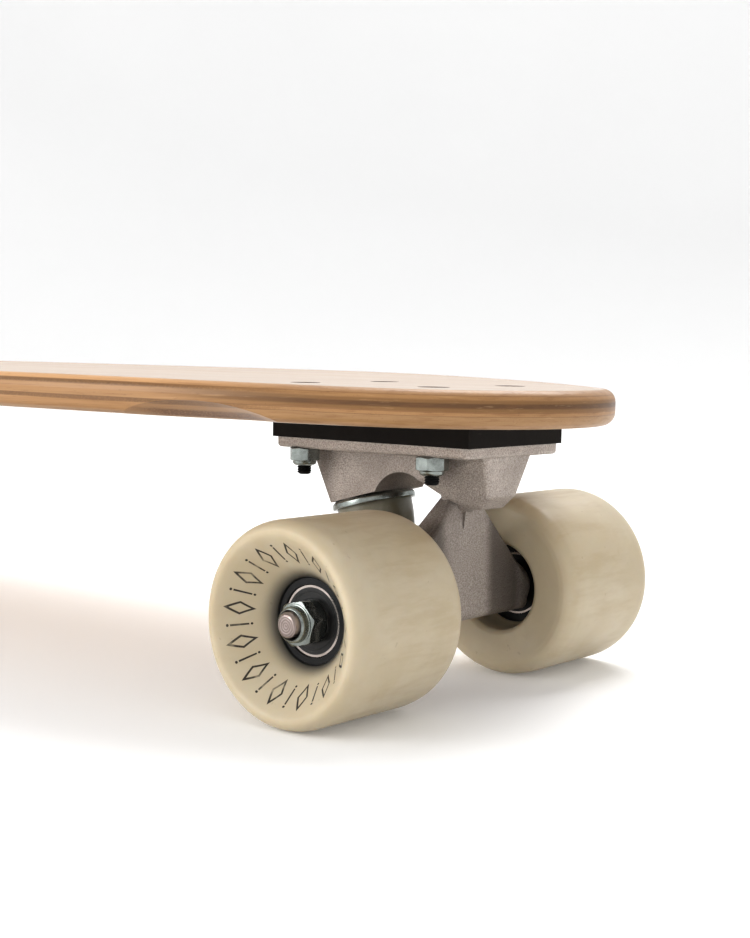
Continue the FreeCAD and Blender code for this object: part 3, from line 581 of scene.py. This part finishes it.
# bushings: urethane lets light in a little way, so its colour is soft at the edges
def bushingMaterial():
    g = Graph("bushing urethane")
    where = g.place()
    clouds = g.noise(where, 160.0, detail=4.0, rough=0.6, warp=0.4)
    fine = g.noise(where, 1920.0, detail=3.0, rough=0.6)
    colour = g.mix(clouds.between(0.3, 0.7), tone(140, 137, 120), tone(122, 117, 98))
    rough = 0.34 + (clouds - 0.5) * 0.12 + (fine - 0.5) * 0.06
    return g.finish(Base_Color=colour, Roughness=rough, Normal=g.bump(fine, strength=0.12, distance=0.00008),
                    Subsurface_Weight=0.35, Subsurface_Radius=(1.0, 0.7, 0.4), Subsurface_Scale=0.003)


# wheel, in millimetres from the board's middle line: the core's seat, an inner recess, the rounded inner edge, a level
# tread, an outer edge that is a quarter of an ellipse down to the crest of the face, and the dished face itself
tyre = {
    "radius": 31.0, "inner": 28.5, "outer": 79.5, "coreRadius": 13.5, "coreStart": 40.0, "coreEnd": 65.0,
    "recess": 15.0, "innerRound": 8.0, "outerRound": 6.2, "crest": 27.8, "treadMargin": 2.0, "sides": 160,
    "innerEdge": ((0.0, 5.0), (0.4, 3.3), (1.76, 1.8), (4.64, 0.5)),  # in from the inner face, below the tread
    "rim": ((0.0, 0.0), (0.12, 0.8), (0.6, 1.7), (1.7, 3.0)),  # in from the outer face, below the crest
}


def tyreProfile():
    t = tyre
    r, a, b, crest = t["radius"], t["inner"], t["outer"], t["crest"]
    seat, core, recess = t["coreStart"], t["coreRadius"], t["recess"]
    throat = soften([(seat, core), (seat - 1, core + 1), (seat - 3, recess), (a + 1.2, recess), (a, recess + 1.3),
                     (a, r - 5.6)], 1.0, 5)
    inner = smoothLine([(a + k, r - fall) for k, fall in t["innerEdge"]] + [(a + t["innerRound"], r)], 7)
    tread = np.array([(y, r) for y in np.linspace(a + t["innerRound"] + t["treadMargin"],
                                                  b - t["outerRound"] - t["treadMargin"], 10)])
    outer = np.array([(b - t["outerRound"] * (1 - math.sin(k)), r - (r - crest) * (1 - math.cos(k)))
                      for k in np.linspace(0, math.pi / 2, 16)])
    rim = smoothLine([(b - k, crest - fall) for k, fall in t["rim"]], 5)[1:]
    dish = np.linspace(rim[-1], (t["coreEnd"] + 0.2, core - 0.6), 14)[1:]
    return np.concatenate([throat, inner, tread, outer, rim, dish])


# the ring printed on each outer face, between two radii: thin lozenges in turn with a bar and its two dots,
# drawn in the wheel's own turn and profile length, in millimetres
printRing = {"low": 18.2, "high": 24.0, "count": 26, "line": 0.24, "soft": 0.09, "lozenge": 1.75, "steep": 1.5,
             "bar": 0.62, "dot": 0.88, "dotRadius": 0.12}


def printedRing(turn, length, lowRun, highRun):
    p = printRing
    half = (highRun - lowRun) / 2
    pitch = fullTurn * (p["low"] + p["high"]) / 2 / p["count"]
    cell = turn * p["count"]
    sideways = (cell - cell.floor() - 0.5) * pitch
    upright = length - (lowRun + highRun) / 2
    odd = (cell.floor() % 2.0).between(0.4, 0.6)
    lozenge = ((sideways.size() / p["lozenge"] + upright.size() / half - 1.0) * p["steep"]).size()
    bar = sideways.size().most((upright.size() - half * p["bar"]).most(0.0))
    dots = (sideways * sideways + (upright.size() - half * p["dot"]) ** 2.0).root() - p["dotRadius"]
    return (lozenge + (bar.least(dots) - lozenge) * odd).until(p["line"], p["line"] + p["soft"])


def tyreMaterial():
    g = Graph("tyre urethane")
    where = g.place()
    turn, length = g.axes(g.node("ShaderNodeTexCoord", output="UV"))[:2]
    # profile lengths where the face starts, where the printed ring starts and ends, and where the core begins
    profile = tyreProfile()
    run = runOf(profile)
    outerHalf = np.arange(len(profile)) > len(profile) // 2
    onDish = outerHalf & (profile[:, 0] > tyre["coreEnd"] - 5) & (profile[:, 1] < tyre["crest"])
    lowRun, highRun = (float(np.interp(-printRing[k], -profile[onDish, 1], run[onDish])) for k in ("high", "low"))
    dishStart, coreRun = float(run[onDish][0]), float(run[-1])
    printed = printedRing(turn, length, lowRun, highRun)
    clouds = g.noise(where, 26.0, detail=5.0, rough=0.62, warp=0.6)
    smears = g.noise(where, 190.0, detail=4.0, rough=0.62, by=(1.0, 0.18, 1.0))
    fine = g.noise(where, 900.0, detail=3.0, rough=0.6)
    specks = g.noise(where, 360.0, detail=2.0, rough=0.5)
    wear = g.noise(where, 75.0, detail=4.0, rough=0.65)
    colour = g.mix(clouds.between(0.32, 0.68), tone(199, 187, 163), tone(190, 176, 149))
    rolling = length.between(22.0, 30.0) * length.until(dishStart - 14, dishStart - 8)  # the part that meets the floor
    colour = g.cover(rolling * smears.between(0.42, 0.72) * 0.35, colour, (170, 150, 116))
    colour = g.stain(wear, 0.60, 0.80, 0.25, colour, (166, 144, 108))
    colour = g.stain(specks, 0.72, 0.76, 0.22, colour, (140, 122, 96))
    # the black core shows through the urethane as a soft dark ring
    halo = length.between(coreRun - 7.6, coreRun - 0.3) ** 1.6
    colour = g.cover(halo * 0.9, colour, (42, 42, 43))
    colour = g.cover(length.between(coreRun - 0.7, coreRun - 0.3), colour, (24, 24, 25))
    colour = g.cover(printed * wear.between(0.80, 0.55) * 0.97, colour, (36, 28, 24))
    rough = 0.42 + (clouds - 0.5) * 0.12 + (smears - 0.5) * 0.14 + printed * 0.05
    normal = g.bump(fine * 0.5 + smears * 0.6, strength=0.16, distance=0.00012)
    return g.finish(Base_Color=colour, Roughness=rough, Normal=normal, Subsurface_Weight=0.30,
                    Subsurface_Radius=(1.0, 0.62, 0.30), Subsurface_Scale=0.004, Specular_IOR_Level=0.4)


finishes = {slot: mouldedMaterial(m) for slot, m in moulded.items()}
finishes.update({
    "deck_wood": woodMaterial(), "cast_alloy": castMaterial("cast alloy", 1.0), "zinc_steel": zincMaterial(),
    "axle_steel": turnedSteel(), "bearing_steel": bearingSteel(), "bushing_urethane": bushingMaterial(),
    "shield_black": shieldMaterial(), "wheel_urethane": tyreMaterial(),
})
hangerShadedFinish = castMaterial("cast alloy shaded below", 0.80)  # the hangers hang below the baseplates in the board's shadow, so they get a copy with painted shade
slotOf = {s["node"]: s["material_slot"] for s in frame["record"]["subparts"]}
for name, obj in frame["nodes"].items():
    obj.data.materials.clear()
    obj.data.materials.append(hangerShadedFinish if name.endswith("_hanger") else finishes[slotOf[name]])
print("finishes set")

for end in facing:
    for side, sign in (("left", 1.0), ("right", -1.0)):
        wheel = lathe(tyreProfile(), (axleX[end], 0.0, axleAt[end].z), (0, sign, 0), tyre["sides"], ring=True)
        addPiece(f"{end}_{side}_wheel_tyre", [wheel], "wheel_urethane", f"{end}_{side}_wheel", f"{end}_{side}_tyre",
                 crease=60.0)
print("tyres turned")

# bolts: a pointed start, a threaded length, a plain shank and a countersunk head with a cross recess; the heads sit
# a little under the face, and point is (up from the end, radius)
bolt = {"radius": 2.38, "head": 4.85, "sunk": 0.6, "angle": 82.0, "land": 0.4, "edge": 0.12, "pitch": 0.79,
        "depth": 0.36, "threads": 14.0, "point": ((0.0, 0.0), (0.0, 0.8), (0.0, 1.5), (0.1, 1.75), (0.35, 2.05)),
        "crossWidth": 0.62, "crossReach": 2.4, "crossDepth": 1.5, "widthRun": 0.3, "reachRun": 0.7,
        "headRows": 26, "sides": 48}


# the four places of a truck's bolts, at a height below the baseplate's top
def boltPlaces(end, z):
    return [spot(end, sx * truck["boltX"], sy * truck["boltY"], z) for sx in (-1, 1) for sy in (-1, 1)]


def boltParts(end):
    n = bolt
    radius, head = n["radius"], n["head"]
    low, high = (v.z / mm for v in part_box(end + "_mounting_bolts"))
    high -= n["sunk"]
    sink = (head - radius) / math.tan(math.radians(n["angle"] / 2))
    neck = high - n["land"] - sink
    rows = [(low + up, r) for up, r in n["point"]] + [(low + 0.6, radius)]
    rows += threadRows(low + 0.7, low + n["threads"], n["pitch"], radius)
    rows += [(neck, radius), (neck + sink * 0.5, (radius + head) / 2), (neck + sink, head), (high - n["edge"], head),
             (high, head - n["edge"])]
    rows += [(high, r) for r in np.linspace(head - 0.5, 0.0, n["headRows"])]
    cutThread = threaded(n["pitch"], n["depth"], low + 0.2, low + n["threads"])

    # the cross is cut where one side of a point is narrow and the other is within reach
    def shape(along, radius, turn):
        along, radius = cutThread(along, radius, turn)
        a, b = np.abs(radius * np.cos(turn)), np.abs(radius * np.sin(turn))
        narrow = np.clip((n["crossWidth"] + 0.25 - np.minimum(a, b)) / n["widthRun"], 0, 1)
        arm = narrow * np.clip((n["crossReach"] - np.maximum(a, b)) / n["reachRun"], 0, 1)
        return along - n["crossDepth"] * arm * (along > high - 0.01), radius

    return [lathe(rows, place * (1, 1, 0), (0, 0, 1), n["sides"], shape) for place in boltPlaces(end, 0)]


mountingNut = {"flats": 9.5, "height": 4.3, "collar": 1.6, "collarRadius": 3.9, "hole": 2.45,
               "spins": (0.35, 0.1, 0.85, 0.5)}
for end in facing:
    addPiece(end + "_threaded_bolts", boltParts(end), "black_steel", "board", end + "_mounting_bolts", crease=50.0)
    nuts = [lockNut(mountingNut, place, (0, 0, -1), spin)
            for place, spin in zip(boltPlaces(end, -truck["plate"]), mountingNut["spins"])]
    addPiece(end + "_lock_nuts", nuts, "zinc_steel", "board", end + "_mounting_nuts")
print("bolts and nuts cut")

# axle: rounded ends, given as (in from the end, radius), where a thread starts with one shallow dip; the rest under
# the nuts is plain; a lock nut holds each wheel
axle = {"radius": 3.95, "pitch": 1.06, "depth": 0.5, "threads": 12.5, "sides": 64,
        "point": ((0.0, 0.0), (0.0, 0.6), (0.0, 1.2), (0.0, 1.8), (0.0, 2.4), (0.03, 2.9), (0.15, 3.25),
                  (0.45, 3.62), (0.8, 3.89))}
axleNut = {"flats": 12.7, "height": 6.4, "collar": 2.6, "collarRadius": 5.3, "hole": 4.05}


def axlePart(end, centre):
    n = axle
    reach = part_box(end + "_axle")[1].y / mm
    start = reach - n["threads"]
    half = [(reach - back, r) for back, r in n["point"]]
    half += [(a, n["radius"]) for a in (reach - 0.95, start, start - 2.0, 0.2)]
    one = threaded(n["pitch"], n["depth"], start, reach - 0.3)
    two = threaded(n["pitch"], n["depth"], 0.3 - reach, -start)
    return lathe([(-a, r) for a, r in half] + half[::-1], centre, (0, 1, 0), n["sides"],
                 lambda along, radius, turn: two(*one(along, radius, turn), turn))


for end in facing:
    centre = np.array((axleX[end], 0.0, axleAt[end].z))
    addPiece(end + "_threaded_axle", [axlePart(end, centre)], "axle_steel", end + "_truck", end + "_axle", crease=50.0)
    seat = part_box(end + "_axle_nuts")[1].y - (axleNut["height"] + axleNut["collar"]) * mm
    nuts = [lockNut(axleNut, centre + np.array((0, sign * seat, 0)), (0, sign, 0), spin)
            for sign, spin in ((1, 0.2), (-1, 0.28))]
    addPiece(end + "_wheel_nuts", nuts, "zinc_steel", end + "_truck", end + "_axle_nuts")
print("axles set")

# kingpin stack, in millimetres down the kingpin from the upper washer's seat: cupped washer, two bushings along the
# tilted kingpin, lock nut and the kingpin's own end, whose point is (up from the end, radius)
kingpin = {"radius": 4.75, "pitch": 1.06, "depth": 0.5, "threads": 12.9, "past": 2.0, "sides": 48, "nutSpin": 0.3,
           "washer": 14.3, "washerThick": 1.5, "lip": 1.4, "hole": 5.0, "washerRound": 0.45, "washerSides": 96,
           "point": ((0.0, 0.0), (0.0, 1.2), (0.0, 2.4), (0.0, 3.3), (0.15, 3.7), (0.6, 4.2), (1.0, 4.6))}
kingpinNut = {"flats": 14.3, "height": 5.5, "collar": 2.0, "collarRadius": 6.4, "hole": 4.85}
# each bushing runs from start to end and from radius top to radius low, with a bulge between; nothing bends it, and
# bendInset is not used
cushion = {"bulge": 0.35, "shoulder": 0.8, "inset": 0.9, "round": 0.7, "rows": 16, "sides": 72, "bendInset": 0.5}
upperBushing = {"start": 1.5, "end": 14.5, "top": 12.7, "low": 11.9}
lowerBushing = {"start": 22.9, "end": 33.4, "top": 11.0, "low": 9.0}


def cushionPart(n, seat, down):
    c, start, end, top, low = cushion, n["start"], n["end"], n["top"], n["low"]
    wall = [(start + c["shoulder"] + (end - start - 2 * c["shoulder"]) * k,
             top + (low - top) * k + c["bulge"] * math.sin(math.pi * k)) for k in np.linspace(0, 1, c["rows"])]
    rows = [(start, kingpin["hole"]), (start, top - c["inset"])] + wall + [(end, low - c["inset"]),
                                                                           (end, kingpin["hole"])]
    return lathe(soften(rows, c["round"], ring=True), seat, down, c["sides"], ring=True)


def washerPart(seat, down):
    k = kingpin
    rim, thick = k["washer"], k["washerThick"]
    edge = thick + k["lip"]
    cup = [(0.0, k["hole"]), (0.0, rim - 1.4), (0.9, rim - 0.1), (edge, rim), (edge, rim - 1.0),
           (thick + 0.1, rim - 1.8), (thick, k["hole"])]
    return lathe(soften(cup, k["washerRound"], 5, ring=True), seat, down, k["washerSides"], ring=True)


def kingpinPart(seat, down, tip):
    k = kingpin
    start = tip - k["threads"] - 1.1
    rows = [(tip - up, r) for up, r in k["point"]]
    rows += [(a, k["radius"]) for a in (tip - 1.1, start, start - 0.6, 0.5)] + [(0.0, k["radius"] - 0.3), (0.0, 0.0)]
    return lathe(rows, seat, down, k["sides"], threaded(k["pitch"], k["depth"], start, tip - 0.3))


for end in facing:
    seat, down = spot(end, *truck["seat"]), kingpinDown(end)
    addPiece(end + "_cup_washer", [washerPart(seat, down)], "zinc_steel", "board", end + "_upper_washer")
    for n, which, fixed, moving in ((upperBushing, "upper", "start", "end"), (lowerBushing, "lower", "end", "start")):
        piece = addPiece(f"{end}_{which}_cushion", [cushionPart(n, seat, down)], "bushing_urethane", None,
                         f"{end}_{which}_bushing", crease=60.0)
        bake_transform(piece)
    nutStart = lowerBushing["end"] + kingpin["washerThick"]
    nut = lockNut(kingpinNut, seat + down * nutStart * mm, down, kingpin["nutSpin"])
    addPiece(end + "_kingpin_lock_nut", [nut], "zinc_steel", "board", end + "_kingpin_nut")
    tip = nutStart + kingpinNut["height"] + kingpinNut["collar"] + kingpin["past"]
    addPiece(end + "_kingpin_end", [kingpinPart(seat, down, tip)], "zinc_steel", "board", None, crease=50.0)
print("trucks dressed")

# studio: a round white cove, so no line shows between floor and wall; two soft lamps and an even sky
studio = {"floor": 2.6, "bend": 1.6, "height": 4.2, "middle": 0.4, "sides": 96, "floorRows": 8, "bendRows": 16,
          "sky": 0.64, "key": 40.0, "fill": 26.0, "lamp": 1.5, "glow": 0.115, "pale": (0.90, 0.90, 0.90),
          "white": (0.93, 0.93, 0.93)}


def coveMaterial():
    g = Graph("studio cove")
    where = g.place()
    cloud = g.noise(where, 2.0, detail=2.0, rough=0.5)
    grit = g.noise(where, 260.0, detail=3.0, rough=0.6)
    return g.finish(Base_Color=g.mix(cloud, studio["pale"], studio["white"]), Roughness=0.9,
                    Normal=g.bump(grit, strength=0.10, distance=0.0004),
                    Emission_Color=(1.0, 1.0, 1.0), Emission_Strength=studio["glow"])


# a level floor, a quarter turn up into the wall, and the wall
def cove():
    s = studio
    sides, wall = s["sides"], s["floor"] + s["bend"]
    a = np.linspace(0, math.pi / 2, s["bendRows"])[1:]
    radius = np.concatenate([[0.0], np.linspace(s["middle"], s["floor"], s["floorRows"]),
                             s["floor"] + s["bend"] * np.sin(a), [wall] * 2])
    height = np.concatenate([[0.0] * (s["floorRows"] + 1), s["bend"] * (1 - np.cos(a)),
                             [s["bend"] + 1.0, s["height"]]])
    turn = np.linspace(0, fullTurn, sides, endpoint=False)
    points = np.stack([radius[:, None] * np.cos(turn), radius[:, None] * np.sin(turn),
                       np.repeat(height[:, None], sides, 1)], -1)
    r, c = (k.ravel() for k in np.meshgrid(np.arange(len(radius) - 1), np.arange(sides), indexing="ij"))
    c2 = (c + 1) % sides
    faces = np.stack([r * sides + c, (r + 1) * sides + c, (r + 1) * sides + c2, r * sides + c2], -1)
    mesh = bpy.data.meshes.new("studio_cove")
    mesh.from_pydata(points.reshape(-1, 3).tolist(), [], faces.tolist())
    mesh.polygons.foreach_set("use_smooth", np.ones(len(faces), bool))
    mesh.materials.append(coveMaterial())
    obj = bpy.data.objects.new("studio_cove", mesh)
    bpy.context.scene.collection.objects.link(obj)


def softLight(name, place, target, power):
    data = bpy.data.lights.new(name, "AREA")
    data.shape, data.size, data.energy = "DISK", studio["lamp"], power
    obj = bpy.data.objects.new(name, data)
    obj.location = place
    obj.rotation_euler = (Vector(target) - Vector(place)).to_track_quat("-Z", "Y").to_euler()
    bpy.context.scene.collection.objects.link(obj)


cove()
world = bpy.data.worlds.new("studio")
bpy.context.scene.world = world
world.use_nodes = True
sky = world.node_tree.nodes["Background"]
sky.inputs["Color"].default_value = (1.0, 1.0, 1.0, 1.0)
sky.inputs["Strength"].default_value = studio["sky"]
softLight("key_light", (-0.1, 1.25, 2.0), (0.15, 0, 0.05), studio["key"])
softLight("fill_light", (-0.7, -1.8, 0.85), (0.2, 0, 0.05), studio["fill"])

# camera: stands low off the nose corner and looks back along the board; angles in degrees, lens in millimetres
shot = {"turn": 39.92, "drop": 4.56, "roll": 0.955, "lens": 57.96, "sensor": 36.0, "near": 0.01,
        "spot": (0.5733, -0.39173, 0.11161), "gamma": 0.88}
a, e, r = (math.radians(shot[k]) for k in ("turn", "drop", "roll"))
ahead = Vector((-math.sin(a) * math.cos(e), math.cos(a) * math.cos(e), -math.sin(e)))
right = Vector((math.cos(a), math.sin(a), 0))
up = right.cross(ahead)
right, up = math.cos(r) * right + math.sin(r) * up, -math.sin(r) * right + math.cos(r) * up
camera = bpy.data.objects.new("camera", bpy.data.cameras.new("camera"))
camera.matrix_world = Matrix([(right[k], up[k], -ahead[k], shot["spot"][k]) for k in range(3)] + [(0, 0, 0, 1)])
camera.data.lens, camera.data.sensor_width, camera.data.clip_start = shot["lens"], shot["sensor"], shot["near"]
bpy.context.scene.collection.objects.link(camera)
bpy.context.scene.camera = camera
bpy.context.scene.view_settings.view_transform = "Standard"
bpy.context.scene.view_settings.gamma = shot["gamma"]
print("stage set")
